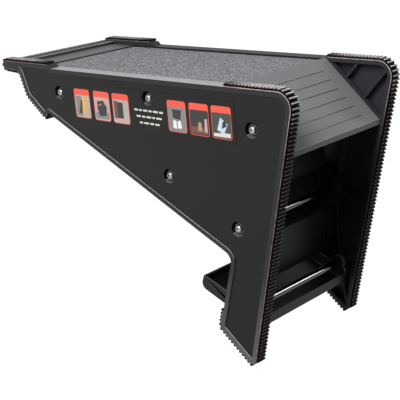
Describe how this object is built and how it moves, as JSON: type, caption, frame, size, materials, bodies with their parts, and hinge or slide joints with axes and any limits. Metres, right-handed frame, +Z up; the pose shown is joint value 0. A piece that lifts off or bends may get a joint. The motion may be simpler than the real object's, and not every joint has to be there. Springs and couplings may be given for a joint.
{
  "type": "levelling platform",
  "caption": "Wedge-shaped levelling platform: rubber-shod side plates carry a level gritty deck, a grooved sloping step, chrome grab rods and an open tray",
  "frame": {"origin": "the middle of the gritty deck surface, on the mid plane", "axes": "+X from the nose to the front edge, +Y to the left side, +Z up, square to the deck"},
  "size_m": [0.5342, 0.208, 0.3587],
  "materials": {
    "plate_plastic": "fine-textured moulding, satin",
    "inner_plastic": "smooth moulding, satin",
    "tread_rubber": "toothed, matt",
    "grip_grit": "fine grit",
    "step_plastic": "smooth, satin",
    "rod_chrome": "polished",
    "tie_steel": "drawn, zinc plated",
    "fastener_zinc": "bright zinc",
    "label_film": "printed film, semi-gloss",
    "bush_nylon": "moulded nylon"
  },
  "bodies": {
    "root": {"belly_tie_tube": "tie_steel", "bulkhead": "inner_plastic", "claw_bar": "inner_plastic", "deck_pan": "inner_plastic", "grip_mat": "grip_grit", "left_front_tread": "tread_rubber", "left_nose_tread": "tread_rubber", "left_rod_bush": "bush_nylon", "left_screws": "fastener_zinc", "left_side_plate": "plate_plastic", "left_sole_tread": "tread_rubber", "left_washers": "fastener_zinc", "lower_rod": "rod_chrome", "middle_tie_tube": "tie_steel", "nose_bar": "inner_plastic", "rear_tie_tube": "tie_steel", "right_front_tread": "tread_rubber", "right_nose_tread": "tread_rubber", "right_rod_bush": "bush_nylon", "right_screws": "fastener_zinc", "right_side_plate": "plate_plastic", "right_sole_tread": "tread_rubber", "right_washers": "fastener_zinc", "side_label": "label_film", "step_panel": "step_plastic", "step_tie_tube": "tie_steel", "tray": "inner_plastic", "upper_rod": "rod_chrome"}
  },
  "joints": []
}
